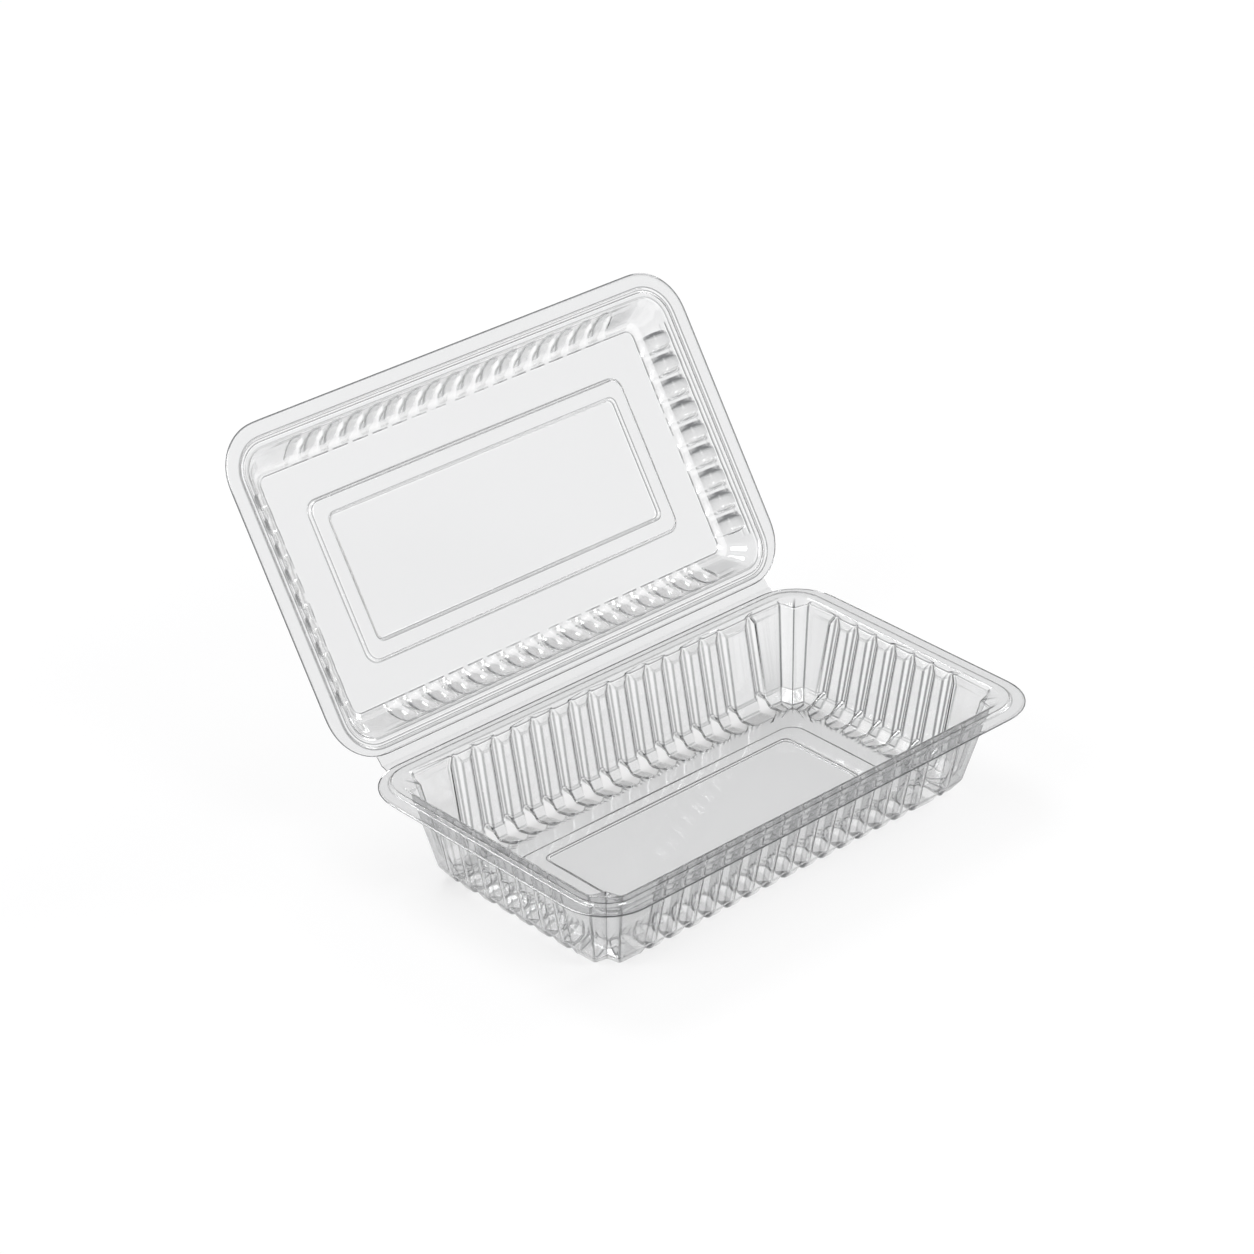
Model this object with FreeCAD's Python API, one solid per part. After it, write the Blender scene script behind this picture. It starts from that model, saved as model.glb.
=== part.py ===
# Clear hinged food pack: a fluted tray and a shallow fluted lid thermoformed
# from one plastic sheet and joined along their back edges by a living hinge.
# Millimetres. z = 0 is the table, +Y points to the hinge and +Z up. The lid
# stands open at its rest angle. Shapes are drawn about the middle of the tray
# and moved at the end, so that the origin is under the middle of the open pack.
import FreeCAD, Part
import os
from math import cos, hypot, radians, sin
from FreeCAD import Vector

os.makedirs("parts", exist_ok=True)

# Sheet and outline; the lid is thinner so that the open pack stands on its own
sheet = 0.4
lid_sheet = 0.3
flange_length = 190.0
flange_depth = 112.0
corner_radius = 16.5
tray_depth = 31.0
rim_top = tray_depth + sheet
half_x = flange_length / 2.0
half_y = flange_depth / 2.0

# Raised bead ring around the tray opening
ring_outer = 4.6
ring_height = 1.0
ring_draft = 0.3

# Tray flutes along the long walls and across the short walls
long_pitch = 8.1
long_first = -62.0
long_count = 15
long_extra = 64.6
short_pitch = 8.4
short_centre = 1.7
short_count = 7

# Floor of the tray, below the flange
floor_ring_drop = 28.3
floor_step_inset = 34.0
floor_step_radius = 6.0
floor_step_rise = 0.8
panel_half_length = 52.4
panel_half_depth = 16.6
panel_radius = 2.5
panel_drop = 0.7

# Lid rim, measured inward from its flange edge and outward from its flange
bead_start = 5.2
bead_width = 1.2
bead_drop = 0.7
lid_band_end = 8.8
lid_band_drop = 1.6

# Lid flutes and panel
lid_long_pitch = 8.06
lid_long_count = 17
lid_short_pitch = 8.1
lid_short_count = 9
lid_depth = 10.0
frame_inset = 29.0
frame_radius = 4.5
frame_rise = 1.4
centre_inset = 34.8
centre_radius = 2.5
centre_drop = 1.2

# Living hinge: each strip half reaches from its flange to the fold line
hinge_half_length = 83.0
hinge_y = 55.8
tray_strip = 1.6
lid_strip = 2.5
strip_lap = 1.2
fold_slit = 0.15
fold_web = 0.3
closed_gap = ring_height + 0.3
hinge_z = rim_top + closed_gap / 2.0
open_angle = 123.25


# Each level gives inset and height from the flange for a plain run, for the
# land between two flutes and for the flute itself, the half widths of a
# flute's tip and foot on the long and the short sides, the corner's peak
# (along, in) and notch insets, how far the flutes are drawn in towards the
# middle, and how far the outer skin lies outward and below.
tray_levels = [
    {"plain": (8.1, 1.0), "land": (8.1, 1.0), "flute": (8.1, 1.0), "tip": (0.6, 0.6),
     "foot": (2.5, 2.5), "round": 8.4, "draw": (1.0, 1.0), "skin": (0.5, 1.0)},
    {"plain": (9.1, -0.4), "land": (10.0, -0.5), "flute": (8.4, 0.5), "tip": (0.6, 0.6),
     "foot": (2.5, 2.5), "peak": (16.3, 9.6), "notch": 15.0, "draw": (1.0, 1.0),
     "skin": (0.87, 0.5)},
    {"plain": (15.8, -27.2), "land": (15.5, -27.2), "flute": (14.3, -26.2),
     "tip": (0.6, 0.6), "foot": (2.0, 2.0), "peak": (21.0, 15.9), "notch": 20.0,
     "draw": (1.0, 1.0), "skin": (0.9, 0.45)},
    {"plain": (16.2, -28.0), "land": (15.9, -28.0), "flute": (18.0, -27.6),
     "tip": (0.5, 0.5), "foot": (1.6, 1.6), "peak": (21.6, 16.4), "notch": 20.6,
     "draw": (1.0, 1.0), "skin": (0.85, 0.55)},
    {"plain": (18.2, -31.0), "land": (17.8, -31.0), "flute": (20.4, -29.0),
     "tip": (0.5, 0.5), "foot": (1.8, 1.8), "peak": (23.6, 18.4), "notch": 22.6,
     "draw": (1.0, 1.0), "skin": (0.52, 1.0)},
    {"plain": (19.6, -31.0), "land": (19.4, -31.0), "flute": (21.4, -28.8),
     "tip": (0.5, 0.5), "foot": (1.8, 1.8), "peak": (24.4, 19.8), "notch": 23.6,
     "draw": (1.0, 1.0), "skin": (-0.1, 1.0)},
    {"plain": (24.6, -30.0), "land": (24.8, -30.1), "flute": (24.2, -28.5),
     "tip": (0.8, 0.8), "foot": (2.2, 2.0), "peak": (26.2, 24.8), "notch": 25.8,
     "draw": (0.99, 0.95), "skin": (-0.3, 1.0)},
    {"plain": (26.2, -28.3), "land": (26.6, -28.3), "flute": (25.0, -28.3),
     "tip": (1.2, 1.2), "foot": (3.0, 2.8), "peak": (26.9, 26.4), "notch": 27.1,
     "draw": (0.98, 0.92), "skin": (-0.2, 1.0)},
]

lid_levels = [
    {"plain": (9.2, -1.6), "land": (9.2, -1.6), "flute": (9.2, -1.6), "tip": (1.9, 1.4),
     "foot": (2.7, 2.2), "round": 7.3, "draw": (1.0, 1.0), "skin": (0.6, 1.0)},
    {"plain": (10.2, -3.0), "land": (10.2, -3.0), "flute": (9.4, -3.8), "tip": (2.0, 1.6),
     "foot": (2.9, 2.5), "round": 6.5, "draw": (1.0, 1.0), "skin": (0.77, 0.62)},
    {"plain": (14.2, -7.9), "land": (14.2, -7.9), "flute": (13.0, -8.9), "tip": (2.1, 1.7),
     "foot": (2.9, 2.5), "round": 4.2, "draw": (1.0, 1.0), "skin": (0.7, 0.75)},
    {"plain": (15.6, -9.5), "land": (15.6, -9.5), "flute": (15.3, -9.9), "tip": (1.7, 1.3),
     "foot": (2.7, 2.2), "round": 3.4, "draw": (1.0, 1.0), "skin": (0.45, 0.92)},
    {"plain": (17.0, -10.0), "land": (17.0, -10.0), "flute": (17.0, -10.0),
     "tip": (1.6, 1.2), "foot": (2.7, 2.2), "round": 2.6, "draw": (1.0, 1.0),
     "skin": (0.1, 1.0)},
]


def side_marks(centres, tip, foot, draw):
    """Positions along one side where its outline changes inset."""
    marks = []
    for centre in centres:
        marks.append((draw * centre - foot, "land"))
        marks.append((draw * centre - tip, "flute"))
        marks.append((draw * centre + tip, "flute"))
        marks.append((draw * centre + foot, "land"))
    first = (marks[0][0] - 0.5, "plain")
    last = (marks[-1][0] + 0.5, "plain")
    return [first] + marks + [last]


def corner_points(level, sign_x, sign_y):
    """Nine points round a corner, from the long side to the short side."""
    height = level["plain"][1]
    if "round" in level:
        inset = level["plain"][0]
        radius = level["round"]
        turns = [radians(90.0 - 11.25 * i) for i in range(9)]
        spots = [(inset + radius * (1.0 - cos(t)), inset + radius * (1.0 - sin(t)))
                 for t in turns]
    else:
        along, peak = level["peak"]
        notch = level["notch"]
        down = [(along + (notch - along) * i / 4.0, peak + (notch - peak) * i / 4.0)
                for i in range(5)]
        spots = down + [(b, a) for a, b in down[3::-1]]
    return [(sign_x * (half_x - a), sign_y * (half_y - b), height) for a, b in spots]


def fluted_outline(level, long_marks, short_marks, rise):
    """Points round one level, counter-clockwise from the front left corner."""
    tips, feet, draws = level["tip"], level["foot"], level["draw"]
    longs = side_marks(long_marks, tips[0], feet[0], draws[0])
    shorts = side_marks(short_marks, tips[1], feet[1], draws[1])
    points = corner_points(level, -1, -1)[::-1]
    points += [(a, -half_y + level[k][0], level[k][1]) for a, k in longs]
    points += corner_points(level, 1, -1)
    points += [(half_x - level[k][0], a, level[k][1]) for a, k in shorts]
    points += corner_points(level, 1, 1)[::-1]
    points += [(a, half_y - level[k][0], level[k][1]) for a, k in longs[::-1]]
    points += corner_points(level, -1, 1)
    points += [(-half_x + level[k][0], a, level[k][1]) for a, k in shorts[::-1]]
    return [(x, y, z + rise) for x, y, z in points]


def mitre(points, outward, drop):
    """Move a closed outline outward by one distance and down by another."""
    moved = []
    count = len(points)
    for i in range(count):
        x0, y0, _ = points[i - 1]
        x1, y1, z1 = points[i]
        x2, y2, _ = points[(i + 1) % count]
        ax, ay = x1 - x0, y1 - y0
        bx, by = x2 - x1, y2 - y1
        la, lb = hypot(ax, ay), hypot(bx, by)
        nx = ay / la + by / lb
        ny = -ax / la - bx / lb
        scale = 2.0 / max(nx * nx + ny * ny, 0.8)
        moved.append((x1 + nx * scale * outward, y1 + ny * scale * outward, z1 - drop))
    return moved


def polygon_wire(points):
    corners = [Vector(*p) for p in points]
    return Part.makePolygon(corners + corners[:1])


def round_wire(half_a, half_b, radius, z, centre_y=0.0):
    """Rounded rectangle of true lines and arcs."""
    edges = []
    spots = [(1, -1), (1, 1), (-1, 1), (-1, -1)]
    angles = [-90.0, 0.0, 90.0, 180.0]
    arcs = []
    for (sx, sy), start in zip(spots, angles):
        cx = sx * (half_a - radius)
        cy = sy * (half_b - radius) + centre_y
        ends = []
        for step in (0.0, 45.0, 90.0):
            turn = radians(start + step)
            ends.append(Vector(cx + radius * cos(turn), cy + radius * sin(turn), z))
        arcs.append(ends)
    for i in range(4):
        edges.append(Part.Arc(*arcs[i]).toShape())
        edges.append(Part.makeLine(arcs[i][2], arcs[(i + 1) % 4][0]))
    return Part.Wire(edges)


def inset_wire(inset, z, radius=None):
    if radius is None:
        radius = corner_radius - inset
    return round_wire(half_x - inset, half_y - inset, radius, z)


def facets(lower, upper):
    """Plane triangles between two outlines with matching points."""
    faces = []
    count = len(lower)
    for i in range(count):
        j = (i + 1) % count
        a, b = Vector(*lower[i]), Vector(*lower[j])
        c, d = Vector(*upper[j]), Vector(*upper[i])
        for trio in ((a, b, c), (a, c, d)):
            area = (trio[1] - trio[0]).cross(trio[2] - trio[0]).Length
            if area > 1e-4:
                faces.append(Part.Face(Part.makePolygon(list(trio) + [trio[0]])))
    return faces


def closed_solid(faces, name):
    shell = Part.makeShell(faces)
    shell.sewShape()
    solid = Part.makeSolid(shell)
    if solid.Volume < 0:
        solid.reverse()
    print(name, len(faces), "faces, valid", solid.isValid(),
          "closed", solid.Shells[0].isClosed(), "volume", round(solid.Volume, 1))
    return solid


def ring_face(outer, inner):
    return Part.makeFace([outer, inner], "Part::FaceMakerBullseye")


def between(wires):
    """Plane or ruled faces that join each outline to the next one inward."""
    faces = []
    for outer, inner in zip(wires, wires[1:]):
        level = abs(outer.BoundBox.ZMin - inner.BoundBox.ZMin) < 1e-6
        if level:
            faces.append(ring_face(outer, inner))
        else:
            faces.extend(Part.makeLoft([outer, inner], False, True).Faces)
    return faces


def skin(rim, levels, floor, marks, rise, thick):
    """One side of the sheet: rim, fluted wall and floor as one open skin."""
    outlines = []
    for level in levels:
        points = fluted_outline(level, marks[0], marks[1], rise)
        points = mitre(points, level["skin"][0] * thick, level["skin"][1] * thick)
        outlines.append(points)
    faces = between(rim)
    faces.append(ring_face(rim[-1], polygon_wire(outlines[0])))
    for lower, upper in zip(outlines, outlines[1:]):
        faces.extend(facets(lower, upper))
    faces.append(ring_face(polygon_wire(outlines[-1]), floor[0]))
    faces.extend(between(floor))
    faces.append(Part.Face(floor[-1]))
    return faces


def sheet_body(name, rims, levels, floors, marks, thick):
    """Both skins of the sheet and its cut edge, closed to one solid."""
    faces = skin(rims[0], levels, floors[0], marks, rim_top, 0.0)
    faces += skin(rims[1], levels, floors[1], marks, rim_top, thick)
    faces += Part.makeLoft([rims[0][0], rims[1][0]], False, True).Faces
    return closed_solid(faces, name)


def flange_wire(back_cut, z):
    """Cut edge of a flange that is narrower on its hinge side."""
    return round_wire(half_x, half_y - back_cut / 2.0, corner_radius, z, -back_cut / 2.0)


def tray_rims():
    back_cut = half_y - (hinge_y - tray_strip)
    step = ring_outer + ring_draft
    top = [flange_wire(back_cut, rim_top), inset_wire(ring_outer, rim_top),
           inset_wire(step, rim_top + ring_height)]
    low = rim_top - sheet
    under = [flange_wire(back_cut, low), inset_wire(ring_outer + 0.3, low),
             inset_wire(step + 0.3, low + ring_height)]
    return top, under


def tray_floors():
    ring_z = rim_top - floor_ring_drop
    floor_z = ring_z + floor_step_rise
    panel_z = floor_z - panel_drop
    top = [inset_wire(floor_step_inset, ring_z, floor_step_radius),
           inset_wire(floor_step_inset + 0.5, floor_z, floor_step_radius - 0.5),
           round_wire(panel_half_length, panel_half_depth, panel_radius, floor_z),
           round_wire(panel_half_length - 0.4, panel_half_depth - 0.4,
                      panel_radius - 0.4, panel_z)]
    under = [inset_wire(floor_step_inset + 0.25, ring_z - sheet, floor_step_radius - 0.25),
             inset_wire(floor_step_inset + 0.75, floor_z - sheet, floor_step_radius - 0.75),
             round_wire(panel_half_length + 0.25, panel_half_depth + 0.25,
                        panel_radius + 0.25, floor_z - sheet),
             round_wire(panel_half_length - 0.15, panel_half_depth - 0.15,
                        panel_radius - 0.15, panel_z - sheet)]
    return top, under


def lid_rims():
    back_cut = half_y - (hinge_y - lid_strip)
    middle = bead_start + bead_width / 2.0
    end = bead_start + bead_width
    top = [flange_wire(back_cut, rim_top), inset_wire(bead_start, rim_top),
           inset_wire(middle, rim_top - bead_drop), inset_wire(end, rim_top),
           inset_wire(lid_band_end, rim_top - lid_band_drop)]
    low = rim_top - lid_sheet
    under = [flange_wire(back_cut, low), inset_wire(bead_start - 0.15, low),
             inset_wire(middle, low - bead_drop - 0.1), inset_wire(end, low - 0.08),
             inset_wire(lid_band_end - 0.12, low - lid_band_drop)]
    return top, under


def lid_floors():
    heel_z = rim_top - lid_depth
    frame_z = heel_z + frame_rise
    centre_z = frame_z - centre_drop
    far = centre_inset + 0.4
    top = [inset_wire(frame_inset, heel_z, frame_radius),
           inset_wire(frame_inset + 0.5, frame_z, frame_radius - 0.5),
           inset_wire(centre_inset, frame_z, centre_radius),
           inset_wire(far, centre_z, centre_radius - 0.4)]
    under = [inset_wire(frame_inset + 0.3, heel_z - lid_sheet, frame_radius - 0.3),
             inset_wire(frame_inset + 0.8, frame_z - lid_sheet, frame_radius - 0.8),
             inset_wire(centre_inset - 0.3, frame_z - lid_sheet, centre_radius + 0.3),
             inset_wire(far - 0.3, centre_z - lid_sheet, centre_radius - 0.1)]
    return top, under


def hinge_strip(reach, thick):
    """Half of the living hinge, from a flange up to just short of the fold line."""
    root = hinge_y - reach
    tip = hinge_y - fold_slit
    top = hinge_z - fold_slit
    section = [(root - strip_lap, rim_top - thick), (root, rim_top - thick),
               (tip, top - fold_web), (tip, top),
               (root, rim_top), (root - strip_lap, rim_top)]
    corners = [Vector(-hinge_half_length, y, z) for y, z in section]
    face = Part.Face(Part.makePolygon(corners + corners[:1]))
    return face.extrude(Vector(2.0 * hinge_half_length, 0.0, 0.0))


def row(first, pitch, count):
    return [first + pitch * i for i in range(count)]


def centred_row(centre, pitch, count):
    return row(centre - pitch * (count - 1) / 2.0, pitch, count)


def make_tray():
    marks = (row(long_first, long_pitch, long_count) + [long_extra],
             centred_row(short_centre, short_pitch, short_count))
    body = sheet_body("base_tray", tray_rims(), tray_levels, tray_floors(), marks, sheet)
    return body.fuse(hinge_strip(tray_strip, sheet)).removeSplitter()


def make_lid():
    """The lid is shaped lying open and flat, then turned up to its rest angle."""
    marks = (centred_row(0.0, lid_long_pitch, lid_long_count),
             centred_row(0.0, lid_short_pitch, lid_short_count))
    body = sheet_body("lid", lid_rims(), lid_levels, lid_floors(), marks, lid_sheet)
    body = body.fuse(hinge_strip(lid_strip, lid_sheet)).removeSplitter()
    axle = Vector(0.0, hinge_y, hinge_z)
    body.rotate(Vector(0.0, hinge_y, 0.0), Vector(0.0, 0.0, 1.0), 180.0)
    body.rotate(axle, Vector(1.0, 0.0, 0.0), 180.0 - open_angle)
    return body


def middle_of_open_pack():
    """How far behind the tray's middle the open pack's middle lies."""
    lean = radians(180.0 - open_angle)
    reach = half_y + hinge_y
    back = hinge_y + reach * cos(lean) + (closed_gap / 2.0 + lid_sheet) * sin(lean)
    return (back - half_y) / 2.0


middle = middle_of_open_pack()
print("middle of the open pack behind the tray's middle", round(middle, 3))
for node, shape in (("base_tray", make_tray()), ("lid", make_lid())):
    solid = shape.Solids[0]
    solid.translate(Vector(0.0, -middle, 0.0))
    solid.exportStep("parts/" + node + ".step")
    print(node, "solids", len(shape.Solids), "valid", shape.isValid(),
          "volume", round(solid.Volume, 1), "centre", solid.CenterOfMass)
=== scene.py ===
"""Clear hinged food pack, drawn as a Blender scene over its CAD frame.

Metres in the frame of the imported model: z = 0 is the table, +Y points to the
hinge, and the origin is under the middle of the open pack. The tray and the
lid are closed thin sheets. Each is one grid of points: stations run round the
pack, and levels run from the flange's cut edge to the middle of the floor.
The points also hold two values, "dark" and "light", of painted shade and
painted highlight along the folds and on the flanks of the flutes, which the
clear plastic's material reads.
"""
from math import cos, pi, radians, sin

import bpy
import numpy as np
from bpy.props import FloatProperty, FloatVectorProperty, IntProperty, PointerProperty
from bpy.types import Operator, Panel, PropertyGroup
from mathutils import Matrix, Vector


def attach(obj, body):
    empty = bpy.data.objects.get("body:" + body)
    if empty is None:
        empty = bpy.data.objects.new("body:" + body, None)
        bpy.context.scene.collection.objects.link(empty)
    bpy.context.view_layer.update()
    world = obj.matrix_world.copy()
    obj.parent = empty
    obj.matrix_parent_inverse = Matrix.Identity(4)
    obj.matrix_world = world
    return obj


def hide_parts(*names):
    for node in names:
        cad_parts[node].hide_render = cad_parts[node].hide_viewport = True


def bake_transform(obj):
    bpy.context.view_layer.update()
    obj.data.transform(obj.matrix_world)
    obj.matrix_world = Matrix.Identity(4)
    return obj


bl_info = {
    "name": "Clear Hinged Food Pack",
    "version": (1, 0, 0),
    "blender": (4, 5, 0),
    "location": "3D View > Sidebar > Food Pack",
    "description": "Builds a clear thermoformed pack with a hinged lid, and its stage",
    "category": "Object",
}

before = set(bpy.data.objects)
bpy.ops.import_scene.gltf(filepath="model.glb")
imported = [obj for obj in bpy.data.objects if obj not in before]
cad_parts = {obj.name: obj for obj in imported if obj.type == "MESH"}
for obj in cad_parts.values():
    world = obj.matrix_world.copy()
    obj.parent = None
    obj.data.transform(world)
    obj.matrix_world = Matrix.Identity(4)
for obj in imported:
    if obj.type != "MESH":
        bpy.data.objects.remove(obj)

MM = 0.001

# Outline of the pack, in millimetres about the middle of the tray, with the
# rim's top and the fold line as heights over the table. MIDDLE is how far the
# tray's middle lies in front of the open pack's own middle.
HALF_X = 95.0
HALF_Y = 56.0
RIM_TOP = 31.4
HINGE_Y = 55.8
HINGE_Z = 32.05
MIDDLE = 30.947

# Places of the tray's flutes: the first and the last one along the long
# walls, and the middle of the row on the short walls
LONG_FIRST = -62.0
LONG_LAST = 64.6
SHORT_MIDDLE = 1.7

# How far each flange is narrowed on the hinge side, the inset up to which the
# narrowing fades out, and the distance from the middle at which it is full
TRAY_BACK_CUT = 1.8
LID_BACK_CUT = 2.7
CUT_FADE = 4.0
CUT_FULL = 30.0

# Usual half widths of a flute's tip and foot, for (long, short) sides, and
# the gap from the last foot to the plain run beside it
TRAY_TIP = (0.6, 0.6)
TRAY_FOOT = (2.5, 2.5)
LID_TIP = (2.3, 1.9)
LID_FOOT = (3.0, 2.6)
PLAIN_GAP = 0.5

# Points round each corner of a level
CORNER_POINTS = 9

# Reach of the two passes of rounding. Only the folds up the lid's wall, at
# its pockets, take the wider one. The last two numbers are the largest share
# of a run that a cut may take, along a level and up the wall.
EDGE_ROUNDING = (0.45, 0.25)
POCKET_ROUNDING = (1.5, 0.8)
STATION_CUT = 0.25
LEVEL_CUT = 0.3

# Rounded stations from one kept point to the next where a row runs straight
STRAIGHT_STEP = 48

# Hinge web: how far it reaches on to each half, how deep it sags there and
# below the fold line, its thickness, its points across and along, and the
# turn in degrees from which its edges are sharp
WEB_ON_TRAY = 2.3
WEB_ON_LID = 3.2
TRAY_SAG = 0.63
LID_SAG = 0.6
FOLD_SAG = 0.15
WEB_THICKNESS = 0.3
WEB_ACROSS = 41
WEB_ALONG = 60
WEB_SHARP = 40.0

# Turns of the sheet, in degrees, at which a fold's painted stripes start to
# show and show fully, how strong its dark stripe of painted shade and its light
# stripe of painted highlight are, and their upper limits
FOLD_LEAST = 16.0
FOLD_FULL = 70.0
DARK_STRIPE = 1.3
DARKEST = 1.1
LIGHT_STRIPE = 1.5
LIGHTEST = 0.9

# How strongly the painted shade of the folds up the wall shows, beside the
# lands and on the tips
TRAY_FOLDS = (1.0, 1.0)
LID_FOLDS = (0.9, 0.25)

# Where the daylight comes from, for the painted light and shade. A painted dark
# stripe shows by FACING_BASE where the sheet stands along it, and by FACING_GAIN
# more or less as the sheet faces it or looks away.
DAYLIGHT = np.array((-0.65, -0.25, 0.72))
FACING_BASE = 0.8
FACING_GAIN = 0.6
FACING_RANGE = (0.4, 1.3)

# Rounded stations on each side over which a wall's own facing to the daylight
# is averaged, for the painted light and shade of the flanks, and rows before
# the wall's end at which the painted grey shade of the pockets stops
FLANK_SHADING_REACH = 8
POCKET_SHADE_END = 5

# Strength of the painted light and shade on the flanks and of their painted
# highlight on the lit side, and the painted grey shade on lands and in pockets
TRAY_GLEAM = 1.4
LID_FLANK_SHADING = 2.2
LID_GLEAM = 0.9
LAND_SHADE = 0.08
POCKET_SHADE = 0.3

# Clear plastic: refractive index, and how wide the painted shade is where it
# is seen edge-on
PLASTIC_INDEX = 1.57
EDGE_ON_BLEND = 0.09

# Light of the stage: each lamp's name, the direction towards it, its width in
# degrees and its strength, then the colours of the room and the floor
LAMPS = (
    ("key", (0.05, 0.55, 0.85), 26.0, 1.4),
    ("pocket_shade", (-0.75, 0.1, 0.65), 24.0, 0.9),
    ("front", (0.1, -0.75, 0.75), 22.0, 0.85),
    ("side", (0.8, -0.1, 0.6), 22.0, 0.75),
)
ROOM_GREY = (0.14, 0.14, 0.142, 1.0)
FLOOR_WHITE = (0.98, 0.98, 0.98, 1.0)
FLOOR_ROUGHNESS = 0.9
FLOOR_SIZE = 8.0
FLOOR_HEIGHT = -0.0002

# Camera: azimuth, elevation and roll in degrees, where the middle of the
# tray's rim lies to the right, down and ahead of it in metres, and its lens
CAMERA_TURN = (-43.098, 29.144, -0.183)
RIM_FROM_CAMERA = (0.02412, 0.03482, 1.28096)
CAMERA_LENS = 119.38
SENSOR_WIDTH = 36.0

# Each level: plain run, land between flutes and flute as (inset, height), or
# (inset on the short sides, inset on the long sides, height), with insets
# from the outline and heights from the rim's top; half widths of tip and foot
# for (long, short) sides; how far the flutes are drawn to the middle; and
# either a corner radius or a corner peak and notch. "line" is how strongly
# the painted stripes of the level's own fold round the pack show, and below 0
# only its light stripe of painted highlight does. The flank-shading key is how
# strongly the painted light and shade on the flanks of the flutes show, and
# "shine" is a painted highlight that makes the whole level paler.
TRAY_RIM = [
    {"plain": (0.0, -0.22), "round": 16.5, "line": 0.6},
    {"plain": (0.45, 0.0), "round": 16.05, "line": -0.9},
    {"plain": (4.5, 0.0), "round": 12.0, "line": 0.3},
    {"plain": (4.95, 1.0), "round": 11.55, "line": -1.0},
    {"plain": (8.1, 1.0), "round": 8.4, "line": 0.35},
]
TRAY_WALL = [
    {"plain": (9.1, -0.4), "land": (9.5, -0.5), "flute": (9.3, -0.3), "tip": (0.15, 0.15),
     "foot": (0.7, 0.7), "peak": (16.3, 9.6), "notch": 15.0},
    {"plain": (9.8, -3.0), "land": (10.6, -3.0), "flute": (9.1, -2.4), "tip": (0.7, 0.7),
     "foot": (2.3, 2.3), "peak": (16.6, 10.2), "notch": 15.4},
    {"plain": (15.6, -26.4), "land": (15.3, -26.4), "flute": (14.2, -25.4),
     "tip": (0.6, 0.6), "foot": (2.0, 2.0), "peak": (20.8, 15.7), "notch": 19.8},
    {"plain": (15.8, -27.2), "land": (15.5, -27.2), "flute": (14.3, -26.2),
     "tip": (0.6, 0.6), "foot": (2.0, 2.0), "peak": (21.0, 15.9), "notch": 20.0,
     "line": 1.6, "tone": 1.5},
    {"plain": (16.2, -28.0), "land": (15.9, -28.0), "flute": (18.0, -27.6),
     "tip": (0.5, 0.5), "foot": (1.6, 1.6), "peak": (21.6, 16.4), "notch": 20.6,
     "line": 1.8, "tone": 2.5},
    {"plain": (18.2, -31.0), "land": (17.8, -31.0), "flute": (20.4, -29.0),
     "tip": (0.5, 0.5), "foot": (1.8, 1.8), "peak": (23.6, 18.4), "notch": 22.6,
     "line": 1.8, "tone": 2.5},
    {"plain": (19.6, -31.0), "land": (19.4, -31.0), "flute": (21.4, -28.8),
     "tip": (0.5, 0.5), "foot": (1.8, 1.8), "peak": (24.4, 19.8), "notch": 23.6,
     "line": 1.8, "tone": 2.5},
    {"plain": (24.6, -30.0), "land": (24.8, -30.1), "flute": (24.2, -28.5),
     "tip": (0.8, 0.8), "foot": (2.2, 2.0), "peak": (26.2, 24.8), "notch": 25.8,
     "draw": (0.99, 0.95), "line": 1.6, "tone": 2.0},
    {"plain": (26.2, -28.3), "land": (26.6, -28.3), "flute": (25.0, -28.3),
     "tip": (1.2, 1.2), "foot": (3.0, 2.8), "peak": (26.9, 26.4), "notch": 27.1,
     "draw": (0.98, 0.92)},
    {"plain": (28.8, -28.3), "round": 4.0, "draw": (0.9, 0.74), "tip": (0.8, 0.8),
     "foot": (2.4, 2.0)},
]
TRAY_FLOOR = [
    {"plain": (34.0, -28.3), "round": 6.0, "draw": (0.78, 0.45), "tip": (0.5, 0.5),
     "foot": (2.0, 1.4)},
    {"plain": (34.5, -27.5), "round": 5.5, "draw": (0.78, 0.45), "tip": (0.5, 0.5),
     "foot": (2.0, 1.4)},
    {"plain": (42.6, 39.4, -27.5), "round": 2.5, "draw": (0.7, 0.4), "tip": (0.5, 0.4),
     "foot": (2.0, 1.2)},
    {"plain": (43.0, 39.8, -28.2), "round": 2.1, "draw": (0.7, 0.4), "tip": (0.5, 0.4),
     "foot": (2.0, 1.2)},
    {"plain": (46.0, 42.8, -28.2), "round": 2.1, "draw": (0.62, 0.28), "tip": (0.5, 0.4),
     "foot": (1.6, 0.8)},
]
LID_RIM = [
    {"plain": (0.0, -0.22), "round": 16.5},
    {"plain": (0.45, 0.0), "round": 16.05},
    {"plain": (5.1, 0.0), "round": 11.4},
    {"plain": (5.8, -0.8), "round": 10.7},
    {"plain": (6.5, -0.15), "round": 10.0},
    {"plain": (8.3, -0.55), "round": 8.2},
]
LID_WALL = [
    {"plain": (9.2, -1.6), "round": 7.3, "tip": (1.2, 1.0), "foot": (2.2, 2.0), "line": 3.0},
    {"plain": (10.6, -2.9), "flute": (9.7, -3.9), "tip": (1.8, 1.6), "foot": (3.1, 2.9),
     "round": 6.3},
    {"plain": (12.2, -5.4), "flute": (10.7, -6.6), "tip": (2.0, 1.8), "foot": (3.2, 3.0),
     "round": 5.3},
    {"plain": (13.8, -8.0), "flute": (12.9, -8.7), "tip": (1.9, 1.6), "foot": (3.1, 2.9),
     "round": 4.4, "line": 1.5, "tone": 0.9},
    {"plain": (14.9, -9.0), "flute": (14.6, -9.7), "tip": (1.6, 1.3), "foot": (2.9, 2.6),
     "round": 3.8, "line": 1.3, "tone": 0.7, "shine": 0.7},
    {"plain": (17.0, -10.0), "round": 2.6, "tip": (1.2, 1.0), "foot": (2.7, 2.2),
     "line": 2.2, "tone": 0.5},
]
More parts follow.
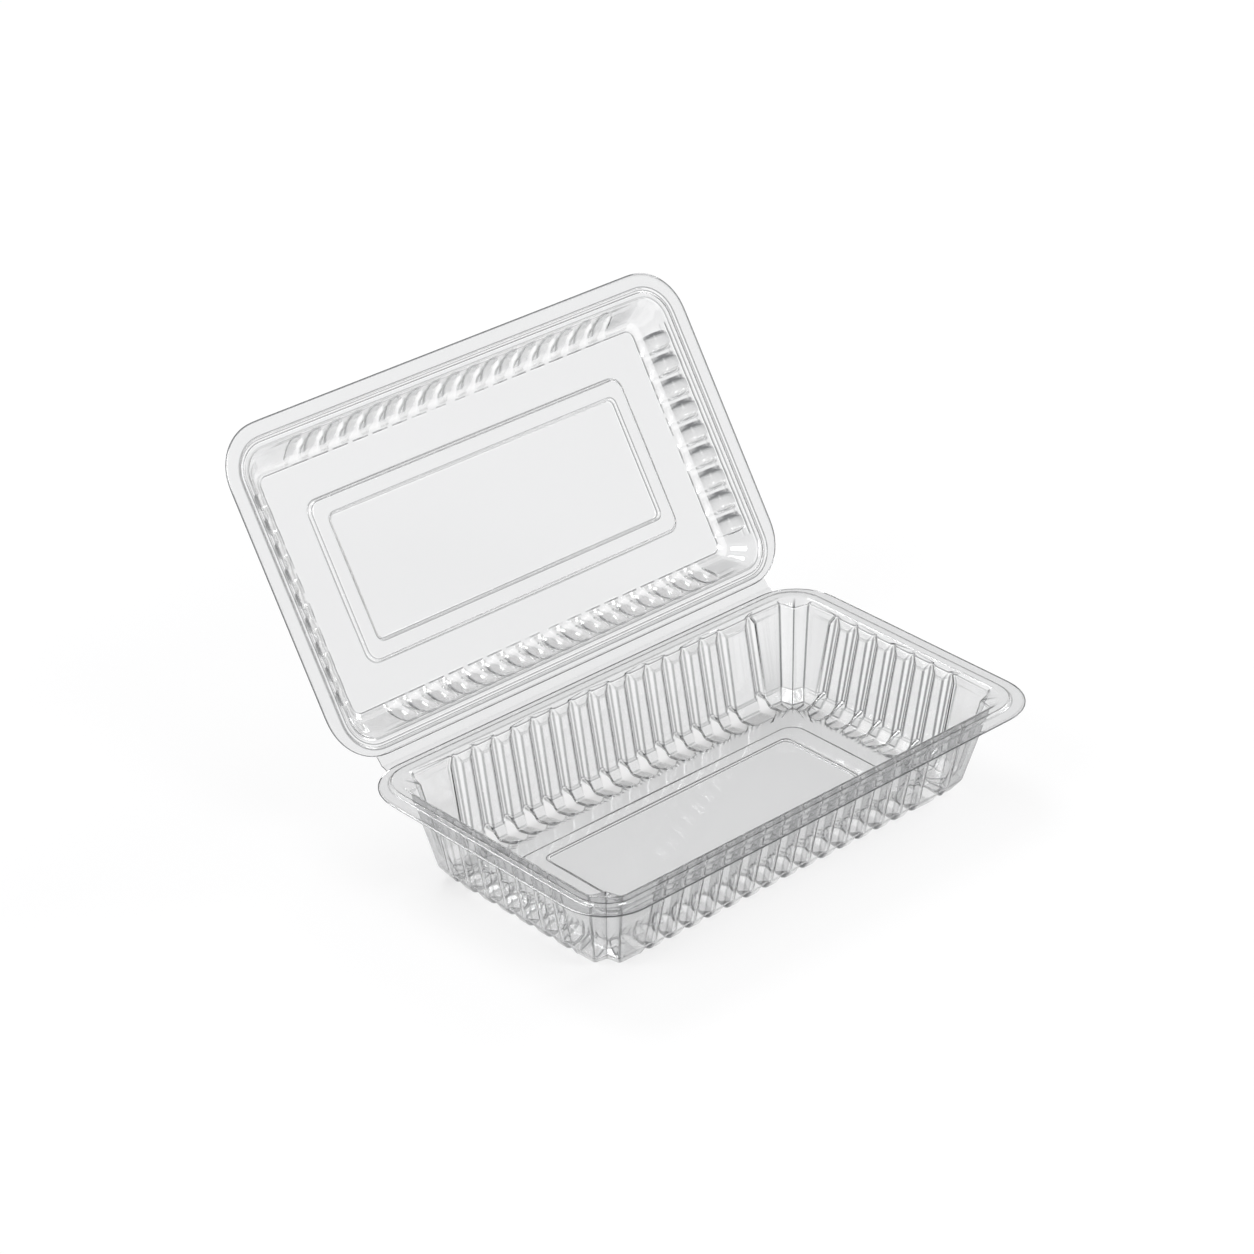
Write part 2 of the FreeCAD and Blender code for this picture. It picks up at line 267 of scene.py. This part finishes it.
LID_FLOOR = [
    {"plain": (29.0, -10.0), "round": 4.5, "line": 0.45, "draw": (0.86, 0.56), "foot": (2.6, 2.0),
     "tip": (1.8, 1.2)},
    {"plain": (29.6, -8.6), "round": 3.9, "line": 0.45, "draw": (0.86, 0.56), "foot": (2.6, 2.0),
     "tip": (1.8, 1.2)},
    {"plain": (34.8, -8.6), "round": 2.5, "line": 0.6, "draw": (0.82, 0.47), "foot": (2.6, 1.8),
     "tip": (1.8, 1.0)},
    {"plain": (35.4, -9.8), "round": 1.9, "line": 0.6, "draw": (0.82, 0.47), "foot": (2.6, 1.8),
     "tip": (1.8, 1.0)},
    {"plain": (38.2, -9.8), "round": 1.9, "draw": (0.78, 0.4), "foot": (2.8, 1.4),
     "tip": (1.8, 0.8)},
]


def side_marks(centres, tip, foot, draw):
    """Stations along one side, as (place, kind of run)."""
    marks = []
    for centre in centres:
        middle = draw * centre
        marks += [(middle - foot, "land"), (middle - tip, "flute")]
        marks += [(middle + tip, "flute"), (middle + foot, "land")]
    first, last = marks[0][0] - PLAIN_GAP, marks[-1][0] + PLAIN_GAP
    return [(first, "plain")] + marks + [(last, "plain")]


def corner_points(level, sign_x, sign_y):
    """Nine points round a corner, from the long side to the short side."""
    inset_x, inset_y, height = level["plain"]
    if "round" in level:
        radius = level["round"]
        step = 90.0 / (CORNER_POINTS - 1)
        turns = [radians(90.0 - step * i) for i in range(CORNER_POINTS)]
        spots = [(inset_x + radius * (1.0 - cos(t)), inset_y + radius * (1.0 - sin(t)))
                 for t in turns]
    else:
        along, peak = level["peak"]
        notch = level["notch"]
        down = [(along + (notch - along) * i / 4.0, peak + (notch - peak) * i / 4.0)
                for i in range(5)]
        spots = down + [(b, a) for a, b in down[3::-1]]
    return [(sign_x * (HALF_X - a), sign_y * (HALF_Y - b), height) for a, b in spots]


def complete(level, tip, foot):
    """Fill in what a level leaves out."""
    full = {"tip": tip, "foot": foot, "draw": (1.0, 1.0)}
    full.update(level)
    for kind in ("plain", "land", "flute"):
        values = full.get(kind, full["plain"])
        full[kind] = values if len(values) == 3 else (values[0], values[0], values[1])
    return full


def outline(level, long_marks, short_marks):
    """The points of one level, once round the pack."""
    tips, feet, draws = level["tip"], level["foot"], level["draw"]
    longs = side_marks(long_marks, tips[0], feet[0], draws[0])
    shorts = side_marks(short_marks, tips[1], feet[1], draws[1])
    points = corner_points(level, -1, -1)[::-1]
    points += [(a, -HALF_Y + level[k][1], level[k][2]) for a, k in longs]
    points += corner_points(level, 1, -1)
    points += [(HALF_X - level[k][0], a, level[k][2]) for a, k in shorts]
    points += corner_points(level, 1, 1)[::-1]
    points += [(a, HALF_Y - level[k][1], level[k][2]) for a, k in longs[::-1]]
    points += corner_points(level, -1, 1)
    points += [(-HALF_X + level[k][0], a, level[k][2]) for a, k in shorts[::-1]]
    return points


def cut_corners(line, reach, share, closed):
    """Replace each point of a line by two, to round it off; an open line keeps its ends."""
    before = np.roll(line, 1, axis=0) - line
    after = np.roll(line, -1, axis=0) - line
    size_before = np.linalg.norm(before, axis=-1, keepdims=True) + 1e-9
    size_after = np.linalg.norm(after, axis=-1, keepdims=True) + 1e-9
    first = line + before * np.minimum(share, reach / size_before)
    second = line + after * np.minimum(share, reach / size_after)
    rounded = np.stack([first, second], axis=1).reshape((-1,) + line.shape[1:])
    if closed:
        return rounded
    return np.concatenate([line[:1], rounded[2:-2], line[-1:]])


def turning(before, after):
    """Degrees between two directions."""
    lengths = np.linalg.norm(before, axis=-1) * np.linalg.norm(after, axis=-1) + 1e-9
    return np.degrees(np.arccos(np.clip(np.sum(before * after, axis=-1) / lengths, -1, 1)))


def station_shares(marks, land, tip):
    """How strongly the painted shade of each station shows, on lands and on tips of flutes: along
    its folds, and as the grey shade of the pockets.
    """
    sides = [[land] + [land, tip, tip, land] * len(centres) + [land] for centres in marks]
    corner = CORNER_POINTS * [land]
    return np.array((corner + sides[0] + corner + sides[1]) * 2)


def row_values(levels, key, usual=1.0):
    """A value of each level, for its rounded rows.

    Two passes of rounding make four rows of a level, and leave one of the
    first level and one of the last.
    """
    return np.repeat([level.get(key, usual) for level in levels], 4)[3:-3, None]


def painted_fold_stripes(grid, weights, shares):
    """Painted shade and painted highlight stripes of each fold at the points of the
    rounded grid.

    A fold round the pack is painted dark on the second of its four rows and light
    on the third. A fold up the wall is painted dark on the two middle ones of its
    four stations. The cut edge gets painted shade as strong as its level's own
    weight.
    """
    across = np.zeros(grid.shape[:2])
    across[1:-1] = turning(grid[1:-1] - grid[:-2], grid[2:] - grid[1:-1])
    around = turning(grid - np.roll(grid, 1, axis=1), np.roll(grid, -1, axis=1) - grid)
    levels, stations = grid.shape[:2]
    row_of = np.repeat(np.arange(levels), 4)[3:-3]
    row_spots = np.arange(4 * levels)[3:-3] % 4
    spots = np.arange(4 * stations) % 4
    across = np.clip((across - FOLD_LEAST) / (FOLD_FULL - FOLD_LEAST), 0.0, 1.0)
    around = np.clip((around - FOLD_LEAST) / (FOLD_FULL - FOLD_LEAST), 0.0, 1.0) * shares
    across = np.repeat(across[row_of] * weights, 4, axis=1)
    around = np.repeat(around[row_of], 4, axis=1)
    middle = (spots == 1) | (spots == 2)
    dark = np.maximum(across * (row_spots == 1)[:, None], around * middle)
    light = np.abs(across) * (row_spots == 2)[:, None]
    dark[:2] = np.maximum(dark[:2], weights[:1])
    return (np.clip(DARK_STRIPE * dark, 0.0, DARKEST),
            np.clip(LIGHT_STRIPE * light, 0.0, LIGHTEST))


def flank_lighting(facing, width):
    """How much more or less each flank faces the daylight than its own wall does,
    which sets the painted light and shade of the flanks.
    """
    spread = np.concatenate([facing[:, -width:], facing, facing[:, :width]], axis=1)
    sums = np.cumsum(spread, axis=1)
    mean = (sums[:, 2 * width:] - sums[:, :-2 * width]) / (2.0 * width)
    return facing - mean[:, :facing.shape[1]]


def sheet_grid(levels, marks, tip, foot, rounding, flute_rounding, shares):
    """The rounded grid, levels by stations by xyz in millimetres, and its folds'
    painted shade and painted highlight stripes.
    """
    rows = [outline(complete(level, tip, foot), marks[0], marks[1]) for level in levels]
    grid = np.array(rows, float)
    dark, light = painted_fold_stripes(grid, row_values(levels, "line"), station_shares(marks, *shares))
    # The level's shine adds painted highlight to the whole level.
    folds = dark, np.maximum(light, row_values(levels, "shine", 0.0))
    for reach in flute_rounding:
        stations = cut_corners(np.swapaxes(grid, 0, 1), reach, STATION_CUT, True)
        grid = np.swapaxes(stations, 0, 1)
    for reach in rounding:
        grid = cut_corners(grid, reach, LEVEL_CUT, False)
    return grid, folds


def grid_normals(grid):
    """Normals of the inner face, towards the inside of the pack."""
    around = np.roll(grid, -1, axis=1) - np.roll(grid, 1, axis=1)
    inward = np.gradient(grid, axis=0)
    normals = np.cross(around, inward)
    return normals / (np.linalg.norm(normals, axis=-1, keepdims=True) + 1e-12)


def set_area_normals(mesh, points, faces):
    """Shade each rounded edge against the larger faces beside it."""
    normals = np.zeros_like(points)
    for size in sorted({len(face) for face in faces}):
        loops = np.array([face for face in faces if len(face) == size])
        corners = points[loops]
        middle = corners.mean(axis=1, keepdims=True)
        spokes = corners - middle
        cross = np.cross(spokes, np.roll(spokes, -1, axis=1)).sum(axis=1)
        for i in range(size):
            np.add.at(normals, loops[:, i], cross)
    normals /= np.linalg.norm(normals, axis=1, keepdims=True) + 1e-12
    mesh.normals_split_custom_set_from_vertices(normals.tolist())


def band_faces(row, next_row, kept, dense, next_dense):
    """Faces between two rows, of which a straight one keeps fewer points."""
    count = len(row)
    if dense == next_dense:
        ends = range(count) if dense else kept
        return [[row[i], row[j], next_row[j], next_row[i]]
                for i, j in zip(ends, list(ends[1:]) + [ends[0]])]
    faces = []
    for first, last in zip(kept, kept[1:] + [kept[0] + count]):
        half = (first + last) // 2
        for i in range(first, last):
            j = (i + 1) % count
            hub = (first if i < half else last) % count
            if dense:
                faces.append([row[i], row[j], next_row[hub]])
            else:
                faces.append([row[hub], next_row[j], next_row[i]])
        ends = (first % count, last % count, half % count)
        if dense:
            faces.append([row[ends[2]], next_row[ends[1]], next_row[ends[0]]])
        else:
            faces.append([row[ends[0]], row[ends[1]], next_row[ends[2]]])
    return faces


def sheet_faces(grid, kept, fluted):
    """Faces of one skin; only the fluted rows use every station."""
    levels, stations = grid.shape[:2]
    index = np.arange(levels * stations).reshape(levels, stations).tolist()
    faces = []
    for i in range(levels - 1):
        dense = fluted[0] <= i <= fluted[1]
        next_dense = fluted[0] <= i + 1 <= fluted[1]
        faces += band_faces(index[i], index[i + 1], kept, dense, next_dense)
    faces.append([index[-1][i] for i in kept])
    return faces


def sheet_object(name, grid, folds, thickness, kept, fluted, flank_shading_weights, pocket_shades, gleam):
    """A closed thin sheet from its inner face's grid, in millimetres.

    Its points hold painted shade and painted highlight there: stripes along its
    folds, lit and shaded flanks by the daylight and a painted grey shade in its
    pockets.
    """
    # Painted light and shade: a flank is lighter or darker as it faces the daylight more or less
    # than its wall, and a fold's painted shade grows as the sheet faces the daylight.
    facing = grid_normals(grid) @ DAYLIGHT
    flank_light_and_shade = flank_lighting(facing, FLANK_SHADING_REACH)
    flank_light_and_shade[:fluted[0]] = 0.0
    flank_light_and_shade[fluted[1]:] = 0.0
    shade_by_facing = np.clip(FACING_BASE + FACING_GAIN * facing, *FACING_RANGE)
    # Painted grey shade in the pockets and on the lands of the fluted rows.
    pocket_shade = np.repeat(pocket_shades, 4)[None, :] * np.ones_like(flank_light_and_shade)
    pocket_shade[:fluted[0]] = 0.0
    pocket_shade[fluted[1] - POCKET_SHADE_END:] = 0.0
    dark = np.maximum(folds[0] * shade_by_facing, np.maximum(-flank_light_and_shade, 0.0) * flank_shading_weights + pocket_shade)
    dark = np.clip(dark, 0.0, 1.0)
    light = np.clip(np.maximum(folds[1], gleam * flank_light_and_shade * flank_shading_weights), 0.0, 1.0)
    levels, stations = grid.shape[:2]
    outer = grid - grid_normals(grid) * thickness
    points = np.concatenate([grid.reshape(-1, 3), outer.reshape(-1, 3), grid[0], outer[0]])
    shift = levels * stations
    top = sheet_faces(grid, kept, fluted)
    faces = top + [[i + shift for i in reversed(face)] for face in top]
    for first, last in zip(kept, kept[1:] + kept[:1]):
        rim, rim_next = first + 2 * shift, last + 2 * shift
        faces.append([rim + stations, rim_next + stations, rim_next, rim])
    used = sorted({i for face in faces for i in face})
    place = dict(zip(used, range(len(used))))
    faces = [[place[i] for i in face] for face in faces]
    points = points[used]
    mesh = bpy.data.meshes.new(name)
    mesh.from_pydata((points * MM).tolist(), [], faces)
    mesh.update()
    mesh.shade_smooth()
    # The cut edge's own points get full painted shade and no painted highlight.
    for label, skin, rim_value in (("dark", dark, 1.0), ("light", light, 0.0)):
        values = np.concatenate([skin.ravel(), skin.ravel(), np.full(2 * stations, rim_value)])
        layer = mesh.attributes.new(label, "FLOAT", "POINT")
        layer.data.foreach_set("value", values[used])
    set_area_normals(mesh, points, faces)
    piece = bpy.data.objects.new(name, mesh)
    bpy.context.scene.collection.objects.link(piece)
    return piece


def kept_stations(longs, shorts):
    """Rounded stations that a straight row needs: many round the corners, few between."""
    kept = []
    start = 0
    for flutes in (longs, shorts, longs, shorts):
        corner_end = start + 4 * CORNER_POINTS
        side_end = corner_end + 4 * (4 * flutes + 2)
        kept += list(range(start, corner_end, 2))
        kept += list(range(corner_end, side_end, STRAIGHT_STEP))
        start = side_end
    return kept


def fluted_rows(rim, wall):
    """First and last rounded row of the fluted wall."""
    return 4 * len(rim) - 3, 4 * (len(rim) + len(wall) - 1)


def centred_row(centre, pitch, count):
    """Places of a row of flutes about its middle."""
    return [centre + pitch * (i - (count - 1) / 2.0) for i in range(count)]


def narrow_back(grid, cut):
    """Pull the first levels of a flange in on the hinge side."""
    rim = grid.copy()
    for i in range(grid.shape[0]):
        inset = HALF_Y - grid[i, :, 1].max()
        fade = max(0.0, 1.0 - inset / CUT_FADE)
        y = grid[i, :, 1]
        rim[i, :, 1] = np.where(y > 0.0, y - cut * fade * np.clip(y / CUT_FULL, 0.0, 1.0), y)
    return rim


def place_tray(grid):
    """Move the tray's grid to where the tray stands in the frame."""
    moved = grid.copy()
    moved[..., 1] -= MIDDLE
    moved[..., 2] += RIM_TOP
    return moved


def place_lid(grid, lean):
    """Lay the lid open and flat behind the tray, then turn it up by its lean."""
    flat_y = 2.0 * HINGE_Y - grid[..., 1]
    flat_x = -grid[..., 0]
    flat_z = grid[..., 2] + RIM_TOP
    dy, dz = flat_y - HINGE_Y, flat_z - HINGE_Z
    y = HINGE_Y + dy * cos(lean) - dz * sin(lean) - MIDDLE
    z = HINGE_Z + dy * sin(lean) + dz * cos(lean)
    return np.stack([flat_x, y, z], axis=-1)


def new_material(name):
    """An empty material, its nodes and its links."""
    material = bpy.data.materials.new(name)
    material.use_nodes = True
    nodes = material.node_tree.nodes
    nodes.clear()
    return material, nodes, material.node_tree.links


def clear_sheet_material(props):
    """Glossy clear plastic that lets daylight through to what lies below it.

    It turns to the colour of a painted shade where it is seen edge-on and by
    the points' "dark" value, and lets the background straight through by their
    "light" value, a painted highlight.
    """
    material, nodes, links = new_material("clear_plastic")
    output = nodes.new("ShaderNodeOutputMaterial")
    plastic = nodes.new("ShaderNodeBsdfPrincipled")
    plastic.inputs["Base Color"].default_value = (*props.sheet_tint, 1.0)
    plastic.inputs["Roughness"].default_value = props.sheet_roughness
    plastic.inputs["IOR"].default_value = PLASTIC_INDEX
    plastic.inputs["Transmission Weight"].default_value = 1.0
    # Painted shade: the colour turns to the edge-on shade where the sheet is seen edge-on,
    # standing in for dark reflections, and by the points' "dark" value.
    weight = nodes.new("ShaderNodeLayerWeight")
    weight.inputs["Blend"].default_value = EDGE_ON_BLEND
    dark = nodes.new("ShaderNodeAttribute")
    dark.attribute_name = "dark"
    light = nodes.new("ShaderNodeAttribute")
    light.attribute_name = "light"
    darkest = nodes.new("ShaderNodeMath")
    darkest.operation = "MAXIMUM"
    links.new(weight.outputs["Facing"], darkest.inputs[0])
    links.new(dark.outputs["Fac"], darkest.inputs[1])
    shaded_colour = nodes.new("ShaderNodeMix")
    shaded_colour.data_type = "RGBA"
    shaded_colour.inputs["A"].default_value = (*props.sheet_tint, 1.0)
    shaded_colour.inputs["B"].default_value = (*props.edge_on_shade, 1.0)
    links.new(darkest.outputs[0], shaded_colour.inputs["Factor"])
    links.new(shaded_colour.outputs["Result"], plastic.inputs["Base Color"])
    # Painted highlight: by the points' "light" value the background shows straight through,
    # without the plastic's losses.
    bright = nodes.new("ShaderNodeBsdfTransparent")
    lit = nodes.new("ShaderNodeMixShader")
    links.new(light.outputs["Fac"], lit.inputs[0])
    links.new(plastic.outputs[0], lit.inputs[1])
    links.new(bright.outputs[0], lit.inputs[2])
    through = nodes.new("ShaderNodeBsdfTransparent")
    through.inputs["Color"].default_value = (*props.shadow_tint, 1.0)
    path = nodes.new("ShaderNodeLightPath")
    either = nodes.new("ShaderNodeMath")
    either.operation = "MAXIMUM"
    links.new(path.outputs["Is Shadow Ray"], either.inputs[0])
    links.new(path.outputs["Is Diffuse Ray"], either.inputs[1])
    mix = nodes.new("ShaderNodeMixShader")
    links.new(either.outputs[0], mix.inputs[0])
    links.new(lit.outputs[0], mix.inputs[1])
    links.new(through.outputs[0], mix.inputs[2])
    links.new(mix.outputs[0], output.inputs["Surface"])
    return material


class PackSettings(PropertyGroup):
    """Sizes, counts and colours of the pack"""

    sheet_thickness: FloatProperty(
        name="Sheet thickness", description="Thickness of the tray's sheet",
        default=0.0004, min=0.0002, max=0.001, unit="LENGTH")
    lid_thickness: FloatProperty(
        name="Lid thickness", description="Thickness of the lid's sheet",
        default=0.0003, min=0.0002, max=0.001, unit="LENGTH")
    open_angle: FloatProperty(
        name="Open angle", description="Angle between the lid at rest and the closed lid",
        default=radians(123.25), subtype="ANGLE")
    long_pitch: FloatProperty(
        name="Long side pitch", description="Distance between flutes on the long walls",
        default=0.0081, unit="LENGTH")
    short_pitch: FloatProperty(
        name="Short side pitch", description="Distance between flutes on the short walls",
        default=0.0084, unit="LENGTH")
    long_count: IntProperty(
        name="Long side flutes", description="Regular flutes on each long wall", default=15)
    short_count: IntProperty(
        name="Short side flutes", description="Flutes on each short wall", default=7)
    lid_long_pitch: FloatProperty(
        name="Lid long side pitch",
        description="Distance between the lid's pockets on its long sides",
        default=0.00806, unit="LENGTH")
    lid_short_pitch: FloatProperty(
        name="Lid short side pitch",
        description="Distance between the lid's pockets on its short sides",
        default=0.0081, unit="LENGTH")
    lid_long_count: IntProperty(
        name="Lid long side pockets", description="Pockets on each long side of the lid",
        default=17)
    lid_short_count: IntProperty(
        name="Lid short side pockets", description="Pockets on each short side of the lid",
        default=9)
    hinge_length: FloatProperty(
        name="Hinge length", description="Length of the hinge's web along the fold",
        default=0.166, unit="LENGTH")
    sheet_tint: FloatVectorProperty(
        name="Sheet colour", description="Colour that the clear sheet lends to what is seen",
        default=(0.94, 0.942, 0.945), subtype="COLOR", size=3)
    shadow_tint: FloatVectorProperty(
        name="Shadow colour", description="Share of daylight that each face lets through",
        default=(0.945, 0.945, 0.945), subtype="COLOR", size=3)
    # Colour of the painted shade where the sheet is seen edge-on; it stands in for dark
    # reflections.
    edge_on_shade: FloatVectorProperty(
        name="Edge colour", description="Colour of the sheet where it is seen edge-on",
        default=(0.19, 0.195, 0.2), subtype="COLOR", size=3)
    sheet_roughness: FloatProperty(
        name="Sheet roughness", description="Surface roughness of the sheet", default=0.0)


class PACK_OT_tray(Operator):
    """Build the fluted tray"""
    bl_idname = "food_pack.tray"
    bl_label = "Build tray"

    def execute(self, context):
        props = context.scene.food_pack
        longs = [LONG_FIRST + props.long_pitch / MM * i for i in range(props.long_count)]
        longs.append(LONG_LAST)
        shorts = centred_row(SHORT_MIDDLE, props.short_pitch / MM, props.short_count)
        levels = TRAY_RIM + TRAY_WALL + TRAY_FLOOR
        marks = (longs, shorts)
        grid, folds = sheet_grid(levels, marks, TRAY_TIP, TRAY_FOOT, EDGE_ROUNDING,
                                 EDGE_ROUNDING, TRAY_FOLDS)
        grid = place_tray(narrow_back(grid, TRAY_BACK_CUT))
        kept = kept_stations(len(longs), len(shorts))
        piece = sheet_object("tray_shell", grid, folds, props.sheet_thickness / MM, kept,
                             fluted_rows(TRAY_RIM, TRAY_WALL), row_values(levels, "tone"),
                             station_shares(marks, 0.0, 0.0), TRAY_GLEAM)
        piece.data.materials.append(bpy.data.materials["clear_plastic"])
        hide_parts("base_tray")
        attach(piece, "tray_body")
        return {"FINISHED"}


class PACK_OT_lid(Operator):
    """Build the fluted lid at its rest angle"""
    bl_idname = "food_pack.lid"
    bl_label = "Build lid"

    def execute(self, context):
        props = context.scene.food_pack
        longs = centred_row(0.0, props.lid_long_pitch / MM, props.lid_long_count)
        shorts = centred_row(0.0, props.lid_short_pitch / MM, props.lid_short_count)
        levels = LID_RIM + LID_WALL + LID_FLOOR
        marks = (longs, shorts)
        grid, folds = sheet_grid(levels, marks, LID_TIP, LID_FOOT, EDGE_ROUNDING,
                                 POCKET_ROUNDING, LID_FOLDS)
        grid = place_lid(narrow_back(grid, LID_BACK_CUT), pi - props.open_angle)
        kept = kept_stations(len(longs), len(shorts))
        piece = sheet_object("lid_shell", grid, folds, props.lid_thickness / MM, kept,
                             fluted_rows(LID_RIM, LID_WALL),
                             LID_FLANK_SHADING * row_values(levels, "tone"),
                             station_shares(marks, LAND_SHADE, POCKET_SHADE), LID_GLEAM)
        piece.data.materials.append(bpy.data.materials["clear_plastic"])
        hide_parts("lid")
        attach(piece, "lid_body")
        return {"FINISHED"}


class PACK_OT_hinge(Operator):
    """Build the living hinge's web across the fold"""
    bl_idname = "food_pack.hinge"
    bl_label = "Build hinge web"

    def execute(self, context):
        props = context.scene.food_pack
        lean = pi - props.open_angle
        half = props.hinge_length / MM / 2.0
        ribs = []
        for t in np.linspace(-1.0, 1.0, WEB_ACROSS):
            if t < 0:
                ribs.append((HINGE_Y + t * WEB_ON_TRAY, HINGE_Z - FOLD_SAG - TRAY_SAG * t * t))
            else:
                dy, dz = t * WEB_ON_LID, -FOLD_SAG - LID_SAG * t * t
                ribs.append((HINGE_Y + dy * cos(lean) - dz * sin(lean),
                             HINGE_Z + dy * sin(lean) + dz * cos(lean)))
        rib = np.array(ribs)
        along = np.gradient(rib, axis=0)
        along /= np.linalg.norm(along, axis=1, keepdims=True)
        normal = np.stack([-along[:, 1], along[:, 0]], axis=1)
        section = np.concatenate([rib, (rib - normal * WEB_THICKNESS)[::-1]])
        steps = np.linspace(-half, half, WEB_ALONG)
        points = [(x, y - MIDDLE, z) for x in steps for y, z in section]
        size = len(section)
        faces = []
        for i in range(len(steps) - 1):
            for j in range(size):
                k = (j + 1) % size
                faces.append((i * size + j, (i + 1) * size + j,
                              (i + 1) * size + k, i * size + k))
        faces.append(tuple(range(size)))
        faces.append(tuple(range((len(steps) - 1) * size, len(steps) * size))[::-1])
        mesh = bpy.data.meshes.new("hinge_web")
        mesh.from_pydata((np.array(points) * MM).tolist(), [], faces)
        mesh.shade_smooth()
        mesh.set_sharp_from_angle(angle=radians(WEB_SHARP))
        piece = bpy.data.objects.new("hinge_web", mesh)
        context.scene.collection.objects.link(piece)
        piece.data.materials.append(bpy.data.materials["clear_plastic"])
        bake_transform(piece)
        return {"FINISHED"}


class PACK_OT_stage(Operator):
    """Set up the floor, the lights and the camera"""
    bl_idname = "food_pack.stage"
    bl_label = "Set up stage"

    def execute(self, context):
        scene = context.scene
        scene.view_settings.view_transform = "Standard"
        bpy.ops.mesh.primitive_plane_add(size=FLOOR_SIZE, location=(0.0, 0.0, FLOOR_HEIGHT))
        floor = context.object
        floor.name = "floor"
        material, nodes, links = new_material("floor_white")
        output = nodes.new("ShaderNodeOutputMaterial")
        paint = nodes.new("ShaderNodeBsdfPrincipled")
        paint.inputs["Base Color"].default_value = FLOOR_WHITE
        paint.inputs["Roughness"].default_value = FLOOR_ROUGHNESS
        paint.inputs["Specular IOR Level"].default_value = 0.0
        links.new(paint.outputs[0], output.inputs["Surface"])
        floor.data.materials.append(material)
        world = bpy.data.worlds.new("white_room")
        scene.world = world
        world.use_nodes = True
        tree = world.node_tree
        tree.nodes.clear()
        out = tree.nodes.new("ShaderNodeOutputWorld")
        light = tree.nodes.new("ShaderNodeBackground")
        light.inputs["Strength"].default_value = 1.0
        light.inputs["Color"].default_value = ROOM_GREY
        tree.links.new(light.outputs[0], out.inputs["Surface"])
        for lamp in LAMPS:
            self.add_sun(*lamp)
        self.add_camera(scene)
        return {"FINISHED"}

    def add_sun(self, name, towards, angle, power):
        """A wide, distant lamp that shines from one direction."""
        data = bpy.data.lights.new(name, "SUN")
        data.angle = radians(angle)
        data.energy = power
        lamp = bpy.data.objects.new(name, data)
        bpy.context.scene.collection.objects.link(lamp)
        lamp.location = Vector(towards)
        lamp.rotation_euler = (-Vector(towards)).to_track_quat("-Z", "Y").to_euler()

    def add_camera(self, scene):
        """The photo's view, from a fit to the pack's edges."""
        azimuth, elevation, roll = (radians(turn) for turn in CAMERA_TURN)
        back = Vector((sin(azimuth) * cos(elevation), -cos(azimuth) * cos(elevation),
                       sin(elevation)))
        right = (-back).cross(Vector((0.0, 0.0, 1.0))).normalized()
        up = right.cross(-back)
        rolled_right = right * cos(roll) + up * sin(roll)
        rolled_up = up * cos(roll) - right * sin(roll)
        aside, down, ahead = RIM_FROM_CAMERA
        spot = -(rolled_right * aside - rolled_up * down - back * ahead)
        spot += Vector((0.0, -MIDDLE * MM, RIM_TOP * MM))
        data = bpy.data.cameras.new("camera")
        data.sensor_width = SENSOR_WIDTH
        data.lens = CAMERA_LENS
        camera = bpy.data.objects.new("camera", data)
        scene.collection.objects.link(camera)
        matrix = Matrix((rolled_right, rolled_up, back)).transposed().to_4x4()
        matrix.translation = spot
        camera.matrix_world = matrix
        scene.camera = camera


class PACK_PT_panel(Panel):
    """Controls of the food pack"""
    bl_label = "Food Pack"
    bl_idname = "PACK_PT_panel"
    bl_space_type = "VIEW_3D"
    bl_region_type = "UI"
    bl_category = "Food Pack"

    def draw(self, context):
        layout = self.layout
        props = context.scene.food_pack
        for name in ("sheet_thickness", "lid_thickness", "open_angle", "long_pitch",
                     "short_pitch", "long_count", "short_count", "lid_long_pitch",
                     "lid_short_pitch", "lid_long_count", "lid_short_count", "hinge_length",
                     "sheet_tint", "edge_on_shade", "shadow_tint", "sheet_roughness"):
            layout.prop(props, name)
        layout.operator("food_pack.tray")
        layout.operator("food_pack.lid")
        layout.operator("food_pack.hinge")
        layout.operator("food_pack.stage")


CLASSES = (PackSettings, PACK_OT_tray, PACK_OT_lid, PACK_OT_hinge, PACK_OT_stage,
           PACK_PT_panel)


def register():
    for item in CLASSES:
        bpy.utils.register_class(item)
    bpy.types.Scene.food_pack = PointerProperty(type=PackSettings)


def unregister():
    del bpy.types.Scene.food_pack
    for item in reversed(CLASSES):
        bpy.utils.unregister_class(item)


def main():
    """Build the pack and its stage."""
    register()
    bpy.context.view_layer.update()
    clear_sheet_material(bpy.context.scene.food_pack)
    bpy.ops.food_pack.tray()
    bpy.ops.food_pack.lid()
    bpy.ops.food_pack.hinge()
    bpy.ops.food_pack.stage()


if __name__ == "__main__":
    main()
